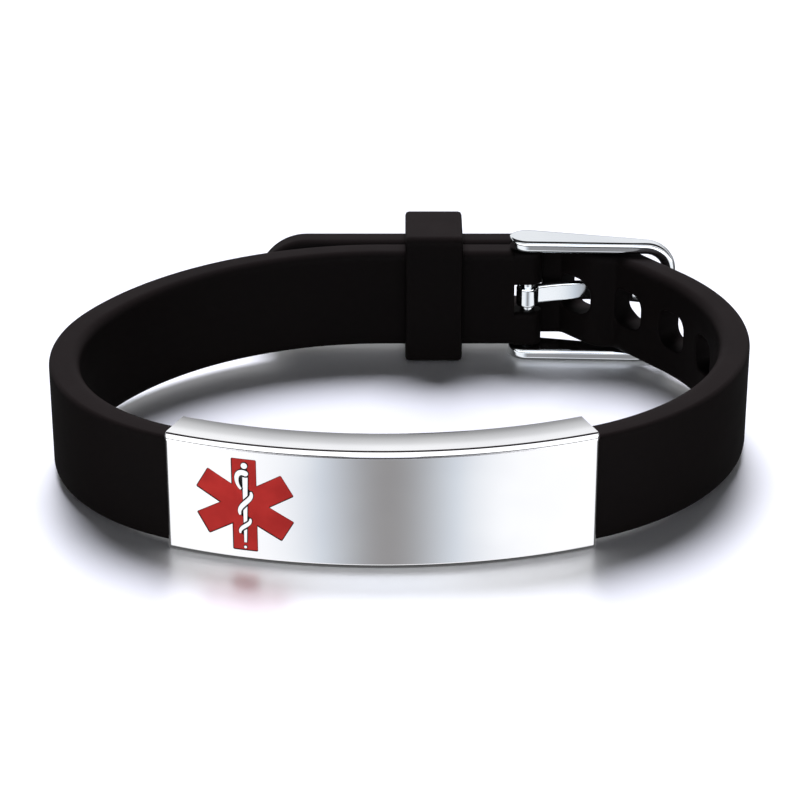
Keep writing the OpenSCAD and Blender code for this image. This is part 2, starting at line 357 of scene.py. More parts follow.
@dataclass(frozen=True)
class Steel(Recipe):
    """Polished stainless steel with hairlines that run along one axis.

    Faces that the mesh marks are blackened. This is painted shade in the star's recess and a painted
    dark reflection on strips of the plate's front edge.
    """

    tint: Triple = (0.985, 0.985, 0.985)
    shade: Triple = (0.93, 0.93, 0.94)
    # black is the colour of the painted shade and the painted dark reflection on the marked faces.
    black: Triple = (0.012, 0.008, 0.008)
    roughness: float = 0.07
    hairline: Triple = (260.0, 260.0, 6500.0)
    patch_scale: float = 130.0
    patch_range: tuple[float, float] = (0.3, 0.7)
    hairline_gloss: float = 0.10
    patch_gloss: float = 0.05
    painted_dark_gloss: float = 0.4
    scratch_depth: float = 0.00001
    scratch: float = 0.10

    def sockets(self, sheet: NodeSheet) -> dict[str, Any]:
        """Hairlines are bumped and change the gloss, and patches change colour and gloss.

        Args:
            sheet: the material's nodes.

        Returns:
            The shader's sockets.
        """
        lines = sheet.noise(sheet.stretched(self.hairline), 1.0, 3.0)
        patches = sheet.noise(sheet.place(), self.patch_scale)
        # The mark says where shade and a dark reflection are painted black; it is 0 where the mesh
        # has no mark.
        painted_mark = sheet.node("ShaderNodeAttribute", {"attribute_name": PAINTED_DARK})
        dark = Term(sheet, painted_mark.outputs["Fac"])
        polish = sheet.blend(patches.steps(*self.patch_range), self.shade, self.tint)
        dull = self.roughness + self.hairline_gloss * (lines - 0.5)
        dull = dull + self.patch_gloss * (patches - 0.5)
        return {
            "Base Color": sheet.blend(dark, polish, self.black),
            "Metallic": 1.0 - dark,
            "Roughness": dull + self.painted_dark_gloss * dark,
            "Normal": sheet.bump(lines, self.scratch_depth, self.scratch),
        }


@dataclass(frozen=True)
class Enamel(Recipe):
    """Clear red enamel over bright steel, a little uneven where it was filled in."""

    rim: Triple = (0.42, 0.019, 0.016)
    full: Triple = (0.50, 0.025, 0.020)
    roughness: float = 0.34
    metal_below: float = 0.85
    flow_scale: float = 380.0
    flow_range: tuple[float, float] = (0.35, 0.65)
    grain_scale: float = 4200.0
    grain_gloss: float = 0.10
    coat: float = 0.10
    coat_roughness: float = 0.12
    flow_share: float = 0.8
    ripple_depth: float = 0.00002
    ripple: float = 0.25

    def sockets(self, sheet: NodeSheet) -> dict[str, Any]:
        """The flow changes colour, coat and height, and the grain changes gloss and height.

        Args:
            sheet: the material's nodes.

        Returns:
            The shader's sockets.
        """
        flow = sheet.noise(sheet.place(), self.flow_scale)
        grain = sheet.noise(sheet.place(), self.grain_scale, 1.0)
        height = flow * self.flow_share + grain * (1 - self.flow_share)
        return {
            "Base Color": sheet.blend(flow.steps(*self.flow_range), self.rim, self.full),
            "Metallic": self.metal_below,
            "Roughness": self.roughness + self.grain_gloss * (grain - 0.5),
            "Coat Weight": self.coat + self.coat * (flow - 0.5),
            "Coat Roughness": self.coat_roughness,
            "Normal": sheet.bump(height, self.ripple_depth, self.ripple),
        }


@dataclass(frozen=True)
class White(Recipe):
    """The floor: plain white, half polished."""

    tone: float = 0.9
    polish: float = 0.5
    roughness: float = 0.46
    specular: float = 0.1

    def sockets(self, sheet: NodeSheet) -> dict[str, Any]:
        """Plain values, the same all over."""
        return {"Base Color": (self.tone,) * 3 + (1.0,), "Metallic": self.polish,
                "Roughness": self.roughness, "Specular IOR Level": self.specular}


class Finish(Enum):
    """The bracelet's finishes, each with the record's material slot and its recipe."""

    SILICONE = ("silicone", Silicone())
    PLATE = ("plate_steel", Steel())
    BUCKLE = ("buckle_steel", Steel(
        tint=(0.84, 0.87, 0.89), shade=(0.78, 0.81, 0.84), roughness=0.09,
        hairline=(900.0, 900.0, 900.0), scratch=0.06))
    ENAMEL = ("enamel", Enamel())

    def material(self) -> bpy.types.Material:
        """The finish's material, made once.

        Returns:
            The material.
        """
        slot, recipe = self.value
        name = slot + "_finish"
        return bpy.data.materials.get(name) or recipe.material(name)


# ---- surfaces


def rounded_loop(half: np.ndarray, radius: np.ndarray | float, count: int) -> np.ndarray:
    """Points evenly spaced round rectangles with rounded corners.

    Each point at a distance d along the outline is on a straight side or on a quarter circle of the
    given radius. The first point is the middle of the right side and the loop runs anticlockwise.

    Args:
        half: half widths and half heights, shape (..., 2).
        radius: corner radius, shape (...) or one number.
        count: points in the loop, a multiple of four.

    Returns:
        Points of shape (..., count, 2).
    """
    half = np.asarray(half, float)
    radius = np.broadcast_to(np.asarray(radius, float), half.shape[:-1])[..., None]
    flat_x, flat_y = half[..., :1] - radius, half[..., 1:] - radius
    quarter = flat_y + np.pi / 2 * radius + flat_x
    share = np.arange(count) / count * 4
    turn = np.floor(share)
    along = (share - turn) * quarter
    odd = turn % 2 == 1
    first, second = np.where(odd, flat_x, flat_y), np.where(odd, flat_y, flat_x)
    safe = np.maximum(radius, TINY)
    angle = np.clip((along - first) / safe, 0, np.pi / 2)
    up = np.minimum(along, first) + radius * np.sin(angle)
    back = np.maximum(along - first - np.pi / 2 * radius, 0)
    across = second + radius * np.cos(angle) - back
    cos, sin = np.round(np.cos(turn * np.pi / 2)), np.round(np.sin(turn * np.pi / 2))
    return np.stack([across * cos - up * sin, across * sin + up * cos], -1)


def pairs(x: np.ndarray | float, y: np.ndarray | float) -> np.ndarray:
    """Points in a plane from their two parts, either of which may be one number."""
    return np.stack(np.broadcast_arrays(x, y), -1)


def read(items: bpy.types.bpy_prop_collection, name: str, width: int = 3,
         kind: type = float) -> np.ndarray:
    """Reads one property of a mesh's vertices, corners or faces.

    Args:
        items: the vertices, corners or faces.
        name: the property.
        width: how many numbers it has.
        kind: float or int.

    Returns:
        The numbers, one row for each item.
    """
    values = np.zeros(len(items) * width, kind)
    items.foreach_get(name, values)
    return values.reshape(-1, width)


def ramp(*stops: Sequence[float]) -> np.ndarray:
    """Joins even stretches of numbers.

    Args:
        *stops: (from, to, steps) of each stretch; each starts where the last one ended.

    Returns:
        The numbers, each joint once.
    """
    parts = [np.linspace(a, b, int(n) + 1)[1:] for a, b, n in stops]
    return np.concatenate([[stops[0][0]], *parts])


class Skin:
    """Grids of points, in millimetres, that are welded into one closed mesh."""

    def __init__(self) -> None:
        """Starts with nothing."""
        self.points: list[np.ndarray] = []
        self.quads: list[np.ndarray] = []
        self.count = 0

    def grid(self, points: np.ndarray, wrap: bool = False, keep: np.ndarray | None = None) -> None:
        """Adds a grid of quads.

        Args:
            points: shape (rows, columns, 3).
            wrap: whether the last column joins the first.
            keep: which quads are kept, shape (rows - 1, columns of quads).
        """
        rows, columns = points.shape[:2]
        index = self.count + np.arange(rows * columns).reshape(rows, columns)
        if wrap:
            index = np.concatenate([index, index[:, :1]], 1)
        quads = np.stack([index[:-1, :-1], index[1:, :-1], index[1:, 1:], index[:-1, 1:]], -1)
        self.quads.append(quads[keep] if keep is not None else quads.reshape(-1, 4))
        self.points.append(points.reshape(-1, 3))
        self.count += rows * columns

    def tube(self, rings: np.ndarray) -> None:
        """Adds a tube with both ends closed to a point in their middle.

        Args:
            rings: shape (rings, points round each, 3).
        """
        ends = [np.broadcast_to(r.mean(0), r.shape) for r in (rings[0], rings[-1])]
        self.grid(np.concatenate([ends[0][None], rings, ends[1][None]]), wrap=True)

    def build(self, name: str, finish: Finish, sharp: float = 40.0) -> bpy.types.Object:
        """Welds the grids and makes the piece.

        Args:
            name: the piece's name.
            finish: its finish.
            sharp: angle in degrees from which an edge shows as an edge.

        Returns:
            The object, at the origin, riding on the bracelet's body.
        """
        mesh = bpy.data.meshes.new(name)
        points = np.concatenate(self.points) * MM
        mesh.from_pydata(points.tolist(), [], np.concatenate(self.quads).tolist())
        work = bmesh.new()
        work.from_mesh(mesh)
        bmesh.ops.remove_doubles(work, verts=work.verts, dist=NEAR)
        bmesh.ops.dissolve_degenerate(work, edges=work.edges, dist=SLIVER)
        bmesh.ops.recalc_face_normals(work, faces=work.faces)
        loose = sum(1 for edge in work.edges if not edge.is_manifold)
        work.to_mesh(mesh)
        work.free()
        mesh.shade_smooth()
        mesh.set_sharp_from_angle(angle=math.radians(sharp))
        made = dress(bpy.data.objects.new(name, mesh), finish)
        LOG.info("%s: %d faces, %d open edges", name, len(mesh.polygons), loose)
        return made


def dress(piece: bpy.types.Object, finish: Finish) -> bpy.types.Object:
    """Links a piece, gives it its finish and lets it ride on the bracelet's body.

    Args:
        piece: the new object.
        finish: its finish.

    Returns:
        The same object.
    """
    bpy.context.scene.collection.objects.link(piece)
    piece.data.materials.clear()
    piece.data.materials.append(finish.material())
    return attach(piece, BODY)


# ---- the strap's way


@dataclass
class Way:
    """A line in the plan made of bends and straight runs."""

    stretches: list[Triple]
    cuts: np.ndarray = field(init=False)
    starts: np.ndarray = field(init=False)

    def __post_init__(self) -> None:
        """Works out where each stretch starts. A stretch is (radius, turn in radians, length)."""
        place, starts, cuts = np.zeros(3), [], [0.0]
        for radius, _, length in self.stretches:
            starts.append(place)
            x, y, h = place
            if radius == 0:
                place = np.array([x + length * math.cos(h), y + length * math.sin(h), h])
            else:
                g = h + length / radius
                place = np.array([x + radius * (math.sin(g) - math.sin(h)),
                                  y - radius * (math.cos(g) - math.cos(h)), g])
            cuts.append(cuts[-1] + length)
        self.starts = np.array([*starts, place])
        self.cuts = np.array(cuts)

    @property
    def length(self) -> float:
        """The whole length."""
        return float(self.cuts[-1])

    def at(self, s: np.ndarray) -> np.ndarray:
        """Places along the line.

        On a straight run the place moves on by the distance along its heading h. On a bend of
        radius r the heading grows by the distance over r, and the place moves by r times the
        change of (sin h, -cos h).

        Args:
            s: distances from the start, any shape.

        Returns:
            x, y and heading in radians, shape (..., 3).
        """
        i = np.clip(np.searchsorted(self.cuts, s, side="right") - 1, 0, len(self.stretches) - 1)
        radius = np.array([r for r, _, _ in self.stretches])[i]
        x, y, h = np.moveaxis(self.starts[i], -1, 0)
        far = s - self.cuts[i]
        safe = np.where(radius == 0, 1.0, radius)
        g = np.where(radius == 0, h, h + far / safe)
        over, up = safe * (np.sin(g) - np.sin(h)), safe * (np.cos(g) - np.cos(h))
        bent = np.stack([x + over, y - up, g], -1)
        run = np.stack([x + far * np.cos(h), y + far * np.sin(h), h], -1)
        return np.where((radius == 0)[..., None], run, bent)


def bend(radius: float, turn: float) -> Triple:
    """A bend's stretch; a negative radius turns to the right, and turn is in degrees."""
    return radius, math.radians(turn), abs(radius) * math.radians(turn)


@dataclass
class StrapLine:
    """The strap's centreline: distance 0 at the plate's middle, positive to the tip."""

    thickness: float = 3.0
    width: float = 10.8
    plate_radius: float = 49.82
    plate_turn: float = 22.62
    bend_radius: float = 25.9
    right_shares: tuple[tuple[float, float], ...] = ((1.0, 0.38), (0.917, 0.62))
    left_shares: tuple[tuple[float, float], ...] = ((0.753, 0.603), (1.257, 0.397))
    free_heading: float = 127.0
    cross_turn: float = 50.0
    layer_gap: float = 0.2
    dip: float = 0.84
    knee_radius: float = 2.4
    cross_radius: float = 2.01
    bar_to_hole: float = 6.0
    keeper_to_bar: float = 10.1
    keeper_width: float = 6.1
    free_end: float = 16.0
    front_cover: float = 0.68

    def __post_init__(self) -> None:
        """Solves the stretches as the part does: the free run makes the two layers meet."""
        lead = bend(self.plate_radius, self.plate_turn)
        sides = ((180, self.left_shares), (self.free_heading, self.right_shares))
        left, right = (
            [lead, *(bend(r * self.bend_radius, t * (end - self.plate_turn)) for r, t in shares)]
            for end, shares in sides)
        back = Way(left).starts[-1]
        self.back_y = float(back[1])
        self.outer_y = self.back_y + self.thickness + self.layer_gap
        turn, rise = math.radians(self.cross_turn), self.thickness + self.layer_gap + self.dip
        half = (rise / 2 - self.cross_radius * (1 - math.cos(turn))) / math.sin(turn)
        cross = [bend(self.knee_radius, 180 - self.free_heading),
                 bend(-self.cross_radius, self.cross_turn),
                 (0.0, 0.0, 2 * half),
                 bend(self.cross_radius, self.cross_turn)]
        open_way = Way([*right, (0.0, 0.0, 1.0), *cross])
        h = math.radians(self.free_heading)
        free = 1.0 + (self.outer_y - open_way.starts[-1][1]) / math.sin(h)
        bent = Way([*right, (0.0, 0.0, free), *cross])
        self.to_knee = float(bent.cuts[len(right) + 1])
        self.to_hole = self.to_knee + cross[0][2] + cross[1][2] + half
        self.hole = bent.at(np.array(self.to_hole))
        self.knee = bent.at(np.array(self.to_knee))
        self.bar_x = float(self.hole[0]) - self.bar_to_hole
        self.keeper_x = self.bar_x - self.keeper_to_bar
        tip_x = self.keeper_x - self.keeper_width / 2 - self.free_end
        last = float(bent.starts[-1][0]) - tip_x
        self.right = Way([*right, (0.0, 0.0, free), *cross, (0.0, 0.0, last)])
        self.left = Way([*left, (0.0, 0.0, self.bar_x + float(back[0]))])
        box = [np.array(corner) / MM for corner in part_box("id_plate")]
        keeper = [np.array(corner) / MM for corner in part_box("keeper")]
        front = self.thickness / 2 + self.front_cover
        middle = (box[0] + box[1]) / 2
        self.origin = np.array([middle[0], box[0][1] + front, middle[2]])
        LOG.info("origin %s, keeper off by %.3f mm", self.origin.round(3),
                 (keeper[0][0] + keeper[1][0]) / 2 - self.origin[0] - self.keeper_x)

    def surface(self, s: np.ndarray, w: np.ndarray, x: np.ndarray) -> np.ndarray:
        """Points on or in the strap.

        The point is the centreline's place at s, moved outwards by x along the normal
        (sin h, -cos h) and up by w. A distance below 0 is on the left half, drawn mirrored in x.

        Args:
            s: distances along the centreline.
            w: heights above it.
            x: distances outwards from it.

        Returns:
            Points in millimetres in the part's frame, shape (..., 3).
        """
        s, w, x = np.broadcast_arrays(np.asarray(s, float), w, x)
        right, left = self.right.at(np.abs(s)), self.left.at(np.abs(s))
        place = np.where((s < 0)[..., None], left, right)
        side = np.where(s < 0, -1.0, 1.0)
        px = side * (place[..., 0] + x * np.sin(place[..., 2]))
        py = place[..., 1] - x * np.cos(place[..., 2])
        return np.stack([px, py, w], -1) + self.origin


# ---- sub-assemblies


@dataclass
class Strap:
    """The silicone strap: one band with holes, a round tip and two lugs about the spring bar."""

    line: StrapLine
    outer_edge: float = 0.5
    inner_edge: float = 0.95
    hole_length: float = 4.4
    hole_height: float = 4.0
    hole_corner: float = 1.4
    hole_pitch: float = 7.3
    holes_each_way: int = 3
    rim: float = 0.2
    patch: float = 3.0
    patch_steps: int = 12
    notch_height: float = 3.2
    notch_length: float = 1.475
    arc_points: int = 9
    face_steps: int = 4
    ring_step: float = 0.7
    lip_points: int = 5
    lug_points: int = 48
    nose_turn: float = 87.0
    nose_rings: int = 16
    tip_rings: int = 49

    def half_section(self) -> np.ndarray:
        """The section from the outer face's middle over the upper edge to the inner face's middle.

        Straight stretches on the two faces and the edge, joined by quarter circles.

        Returns:
            (outwards, upwards) of each point, shape (n, 2).
        """
        a, b = self.line.thickness / 2, self.line.width / 2
        ro, ri = self.outer_edge, self.inner_edge
        steps = self.patch_steps // 2
        arc = np.linspace(0, np.pi / 2, self.arc_points)
        out = ramp((0, self.patch, steps), (self.patch, b - ro, self.face_steps))
        back = ramp((b - ri, self.patch, self.face_steps), (self.patch, 0, steps))
        edge = np.linspace(a - ro, ri - a, self.face_steps)[1:-1]
        return np.concatenate([
            pairs(a, out),
            pairs(a - ro + ro * np.cos(arc), b - ro + ro * np.sin(arc))[1:],
            pairs(edge, b),
            pairs(ri - a - ri * np.sin(arc), b - ri + ri * np.cos(arc))[:-1],
            pairs(-a, back),
        ])

    def stations(self, holes: np.ndarray) -> np.ndarray:
        """Distances at which the band has a ring.

        Rings are half a millimetre apart on the patches round the holes, and at most ring_step
        apart between them.

        Args:
            holes: distances of the holes.

        Returns:
            The distances, rising.
        """
        start = self.notch_length - self.line.left.length
        end = self.line.right.length - self.line.width / 2
        marks = np.sort(np.concatenate([[start, 0.0, end], holes - self.patch, holes + self.patch]))
        parts = []
        for low, high in zip(marks[:-1], marks[1:]):
            inside = np.any(np.abs(holes - (low + high) / 2) < NEAR)
            between = max(1, math.ceil((high - low) / self.ring_step))
            parts.append((low, high, self.patch_steps if inside else between))
        return ramp(*parts)

    def hole_patch(self, s: float) -> np.ndarray:
        """The surface of one hole, from a square on the outer face through it to the inner face.

        Rings go from the square to the rim by a blend of the two outlines, turn inwards on a
        quarter circle, run through the strap and come out in the same way.

        Args:
            s: distance of the hole's middle along the strap.

        Returns:
            Rings of points, shape (rings, points, 3).
        """
        count = 4 * self.patch_steps
        square = rounded_loop(np.array([self.patch, self.patch]), 0.0, count)
        turn = np.linspace(0, np.pi / 2, self.lip_points)
        grow = self.rim * (1 - np.sin(turn))
        half = np.array([self.hole_length, self.hole_height]) / 2 + grow[:, None]
        rim = rounded_loop(half, self.hole_corner + grow, count)
        share = np.linspace(0, 1, self.lip_points)[:-1, None, None]
        loops = np.concatenate([square + (rim[0] - square) * share, rim])
        a = self.line.thickness / 2
        depth = np.concatenate([np.full(len(share), a), a - self.rim * (1 - np.cos(turn))])
        loops, depth = np.concatenate([loops, loops[::-1]]), np.concatenate([depth, -depth[::-1]])
        return self.line.surface(s + loops[..., 0], loops[..., 1], depth[:, None])

    def lug(self, skin: Skin, side: int) -> None:
        """Adds one of the two lugs beside the tongue, rounded about the spring bar.

        The section is a rounded rectangle. Past the bar its thickness is scaled by the cosine of
        an angle whose sine, times half the thickness, is how far it has gone.

        Args:
            skin: where it is added.
            side: 1 for the upper lug, -1 for the lower one.
        """
        a, b = self.line.thickness / 2, self.line.width / 2
        low = self.notch_height / 2
        half = np.array([a, (b - low) / 2])
        loop = rounded_loop(half, self.outer_edge, self.lug_points)
        angle = np.linspace(0, np.radians(self.nose_turn), self.nose_rings)
        lead = np.linspace(self.notch_length, 0, self.lip_points)[:-1]
        s = np.concatenate([lead, -a * np.sin(angle)]) - self.line.left.length
        thin = np.concatenate([np.ones_like(lead), np.cos(angle)])
        x = loop[:, 0] * thin[:, None]
        w = side * (low + half[1] + loop[:, 1])
        skin.tube(self.line.surface(s[:, None], w[None], x))

    def build(self) -> bpy.types.Object:
        """Makes the strap.

        Returns:
            The piece that stands for the CAD node.
        """
        line, skin = self.line, Skin()
        steps = np.arange(-self.holes_each_way, self.holes_each_way + 1)
        holes = line.to_hole - self.hole_pitch * steps
        half = self.half_section()
        loop = np.concatenate([half, (half * [1, -1])[-2:0:-1]])
        s = self.stations(holes)
        points = line.surface(s[:, None], loop[None, :, 1], loop[None, :, 0])
        middle = (s[:-1] + s[1:]) / 2
        near = np.abs(middle[:, None] - holes).min(1) < self.patch
        ends = np.stack([loop[:, 1], np.roll(loop[:, 1], -1)])
        flat = np.abs(loop[:, 0]) > line.thickness / 2 - TINY
        face = flat & np.roll(flat, -1) & (np.abs(ends).max(0) < self.patch + NEAR)
        skin.grid(points, wrap=True, keep=~(near[:, None] & face[None]))
        for hole in holes:
            skin.grid(self.hole_patch(float(hole)), wrap=True)
        butt = points[0]
        skin.grid(np.stack([np.broadcast_to(butt.mean(0), butt.shape), butt]), wrap=True)
        # the tip is the half section turned half round about an axis through the strap
        turn = np.linspace(np.pi / 2, -np.pi / 2, self.tip_rings)[:, None]
        x, w = half[:, 0], half[:, 1]
        centre = line.right.length - line.width / 2
        skin.grid(line.surface(centre + w * np.cos(turn), w * np.sin(turn), x[None]))
        for side in (1, -1):
            self.lug(skin, side)
        piece = skin.build("strap_band", Finish.SILICONE)
        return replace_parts(piece, "strap")


@dataclass
class Keeper:
    """The silicone loop that holds the free end."""

    line: StrapLine
    wall: float = 1.25
    gap: float = 0.1
    play: float = 0.8
    inner_corner: float = 0.45
    outer_corner: float = 0.85
    lip: float = 0.35
    section_points: int = 48
    outline_points: int = 160

    def build(self) -> bpy.types.Object:
        """Makes the keeper.

        A rounded rectangle, the wall's section, is carried round another, the opening's outline,
        which grows by the distance d out through the wall and whose corner radius goes from the
        inner to the outer one.

        Returns:
            The piece that stands for the CAD node.
        """
        line = self.line
        wall = np.array([line.keeper_width, self.wall]) / 2
        section = rounded_loop(wall, self.lip, self.section_points)
        d = section[:, 1] + self.wall / 2
        deep = 2 * line.thickness + line.layer_gap + 2 * self.gap
        tall = line.width + 2 * self.gap + self.play
        half = pairs(deep / 2 + d, tall / 2 + d)
        corner = self.inner_corner + (self.outer_corner - self.inner_corner) * d / self.wall
        outline = rounded_loop(half, corner, self.outline_points)
        x = np.broadcast_to(line.keeper_x + section[:, :1], outline.shape[:2])
        y = (line.back_y + line.outer_y) / 2 + outline[..., 0]
        points = np.stack([x, y, self.play / 2 + outline[..., 1]], -1) + line.origin
        skin = Skin()
        skin.grid(np.concatenate([points, points[:1]]), wrap=True)
        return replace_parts(skin.build("keeper_loop", Finish.SILICONE), "keeper")


@dataclass
class Buckle:
    """The steel frame, its spring bar and the tongue."""

    line: StrapLine
    length: float = 15.0
    front_bar: float = 1.4
    front_gap: float = 1.2
    lug: float = 4.0
    rail: float = 1.25
    rail_gap: float = 0.2
    corner: float = 3.1
    bar: float = 1.5
    tip: float = 0.9
    tip_length: float = 0.6875
    gap: float = 0.05
    tongue_width: float = 2.1
    tongue_thickness: float = 0.85
    loop_wall: float = 0.4
    lean: float = 30.0
    edge: float = 0.42
    front_edge: float = 0.62
    edge_run: float = 3.5
    edge_limit: float = 0.9
    nose_turn: float = 85.0
    nose_rings: int = 14
    rail_rings: int = 40
    corner_steps: int = 16
    side_steps: int = 10
    section_points: int = 64
    chamfer: float = 0.12
    groove: tuple[float, ...] = (1.1, 1.0, 0.8, 0.7)
    pass_share: float = 0.3
    root_share: float = 0.6
    dome: float = 0.5
    dome_rings: int = 8
    dome_end: float = 0.05
    dome_narrows: float = 0.45
    prong_rings: int = 40
    prong_edge: float = 0.28
    prong_points: int = 48
    loop_edge: float = 0.16
    loop_points: int = 32

    def __post_init__(self) -> None:
        """Turns the frame until its front bar clears the strap, as the part does."""
        line = self.line
        knee_x, knee_y, h = line.knee
        off = (line.bar_x - knee_x) * math.sin(h) - (line.back_y - knee_y) * math.cos(h)
        need = line.thickness / 2 + self.front_gap + self.front_bar / 2
        self.turn = h - math.pi / 2 - math.acos((need - off) / self.length)
        self.height = line.width + 2 * self.rail_gap + 2 * self.rail
        self.bar_place = np.array([line.bar_x, line.back_y])
        way = np.array([math.cos(self.turn), math.sin(self.turn)])
        self.front = self.bar_place + self.length * way

    def placed(self, local: np.ndarray) -> np.ndarray:
        """Turns points drawn along x from the spring bar into line with the frame.

        Args:
            local: shape (..., 3).

        Returns:
            Points in the part's frame, in millimetres.
        """
        c, s = math.cos(self.turn), math.sin(self.turn)
        x, y, z = np.moveaxis(local, -1, 0)
        start = self.bar_place
        there = np.stack([start[0] + c * x - s * y, start[1] + s * x + c * y, z], -1)
        return there + self.line.origin

    def outline(self, x: np.ndarray, reach: float, tall: float, corner: float) -> np.ndarray:
        """One outline of the frame's side: along a rail, round both corners and back.

        Args:
            x: places along the rail.
            reach: how far the outline goes from the spring bar.
            tall: its half height.
            corner: the radius of its corners.

        Returns:
            Points in a plane, shape (n, 2).
        """
        turn = np.linspace(0, np.pi / 2, self.corner_steps + 1)[1:]
        down = np.linspace(tall - corner, 0, self.side_steps + 1)[1:]
        half = np.concatenate([
            pairs(np.minimum(x, reach - corner), tall),
            pairs(reach - corner * (1 - np.sin(turn)), tall - corner * (1 - np.cos(turn))),
            pairs(reach, down),
        ])
        return np.concatenate([half, (half * [1, -1])[-2::-1]])

    def build_frame(self) -> bpy.types.Object:
        """Makes the frame: rails from rounded lugs, taken round two corners to the front bar.

        A rounded rectangle is carried along the frame. At each place it spans the inner and outer
        outlines, and its depth is that of the two tangents from the lug's circle to the bar's,
        or the lug's circle itself past the spring bar.

        Returns:
            The piece that stands for the CAD node.
        """
        r1, r2, reach = self.lug / 2, self.front_bar / 2, self.length + self.front_bar / 2
        angle = np.linspace(np.radians(self.nose_turn), 0, self.nose_rings)
        rail = ramp((0, reach - self.corner, self.rail_rings))[1:]
        x, tall = np.concatenate([-r1 * np.sin(angle), rail]), self.height / 2
        outer_line = self.outline(x, reach, tall, self.corner)
        inner_line = self.outline(
            x, reach - self.front_bar, tall - self.rail, self.corner - self.rail)
        mid, span = (outer_line + inner_line) / 2, outer_line - inner_line
        thick = np.linalg.norm(span, axis=1)
        unit = span / thick[:, None]
        slope = (r2 - r1) / self.length
        tapered = (r1 + slope * mid[:, 0]) / math.sqrt(1 - slope * slope)
        lug = np.sqrt(np.maximum(r1 * r1 - mid[:, 0] ** 2, 0))
        depth = np.where(mid[:, 0] < 0, lug, np.maximum(tapered, r2))
        nearness = np.clip((mid[:, 0] - self.length + self.edge_run) / self.edge_run, 0, 1)
        edge = self.edge + (self.front_edge - self.edge) * nearness
        edge = np.minimum(edge, self.edge_limit * np.minimum(depth, thick / 2))
        loops = rounded_loop(pairs(thick / 2, depth), edge, self.section_points)
        flat = mid[:, None] + loops[..., :1] * unit[:, None]
        skin = Skin()
        skin.tube(self.placed(np.stack([flat[..., 0], loops[..., 1], flat[..., 1]], -1)))
        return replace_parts(skin.build("buckle_rails", Finish.BUCKLE), "buckle_frame")

    def revolved(self, profile: np.ndarray, steps: int = 64) -> np.ndarray:
        """A profile turned round the spring bar's axis.

        Args:
            profile: (radius, height) of each point, shape (n, 2).
            steps: points round the axis.

        Returns:
            Points of shape (n, steps, 3): radius times cosine and sine of the angle, and height.
        """
        a = np.arange(steps) / steps * 2 * np.pi
        r, z = profile[:, :1], profile[:, 1:]
        return self.placed(np.stack([r * np.cos(a), r * np.sin(a), z + 0 * a], -1))

    def build_bar(self) -> bpy.types.Object:
        """Makes the spring bar: a rod with a turned groove near each end and two thinner tips.

        Returns:
            The piece that stands for the CAD node.
        """
        long = self.height / 2 - self.rail - self.gap
        r, t, c = self.bar / 2, self.tip / 2, self.chamfer
        end = long + self.gap + self.tip_length
        g = long - np.array(self.groove)
        half = np.array([[r, 0], [r, g[0]], [r - c, g[1]], [r - c, g[2]], [r, g[3]], [r, long - c],
                         [r - c, long], [t, long], [t, end - c], [t - c, end], [0, end]])
        skin = Skin()
        skin.grid(self.revolved(np.concatenate([(half * [1, -1])[:0:-1], half])), wrap=True)
        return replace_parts(skin.build("spring_bar_rod", Finish.BUCKLE), "spring_bar")

    def build_tongue(self) -> bpy.types.Object:
        """Makes the tongue: a loop on the spring bar and a prong bowed over the front bar.

        The prong's middle is the circle through the spring bar, a point just outside the middle
        of the hole in use and a point above the front bar. A rounded rectangle is carried along
        it and shrinks at the end by the square root of one less the square of the share gone.

        Returns:
            The piece that stands for the CAD node.
        """
        lean, hole = math.radians(self.lean), self.line.hole
        rise = self.front_bar / 2 + self.gap + self.tongue_thickness / 2
        rest = self.front + rise * np.array([math.sin(lean), math.cos(lean)])
        passed = np.array([hole[0], hole[1] + self.pass_share * self.tongue_thickness])
        ab, ac = passed - self.bar_place, rest - self.bar_place
        det = 2 * (ab[0] * ac[1] - ab[1] * ac[0])
        centre = self.bar_place + np.array([ac[1] * (ab @ ab) - ab[1] * (ac @ ac),
                                            ab[0] * (ac @ ac) - ac[0] * (ab @ ab)]) / det
        r = float(np.linalg.norm(self.bar_place - centre))
        start, stop = (math.atan2(*(p - centre)[::-1]) for p in (self.bar_place, rest))
        stop -= self.front_bar / 2 / r
        inner = self.bar / 2 + self.gap
        near, dome = start - (inner + self.loop_wall * self.root_share) / r, self.dome / r
        gone = np.linspace(0, np.pi / 2, self.dome_rings + 1)[1:]
        prong = np.linspace(near, stop + dome, self.prong_rings)
        angle = np.concatenate([prong, stop + dome - dome * np.sin(gone)])
        size = np.concatenate([np.ones_like(prong), np.maximum(np.cos(gone), self.dome_end)])
        wide = 1 - self.dome_narrows * (1 - size)
        half = pairs(self.tongue_thickness / 2 * size, self.tongue_width / 2 * wide)
        loops = rounded_loop(half, self.prong_edge * size, self.prong_points)
        reach = r + loops[..., 0]
        a = angle[:, None]
        x, y = centre[0] + reach * np.cos(a), centre[1] + reach * np.sin(a)
        flat = np.stack([x, y, loops[..., 1]], -1)
        skin = Skin()
        skin.tube(flat + self.line.origin)
        wall = np.array([self.loop_wall, self.tongue_width]) / 2
        ring = rounded_loop(wall, self.loop_edge, self.loop_points)
        ring = np.concatenate([ring, ring[:1]]) + [inner + self.loop_wall / 2, 0]
        skin.grid(self.revolved(ring), wrap=True)
        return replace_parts(skin.build("tongue_prong", Finish.BUCKLE), "tongue")


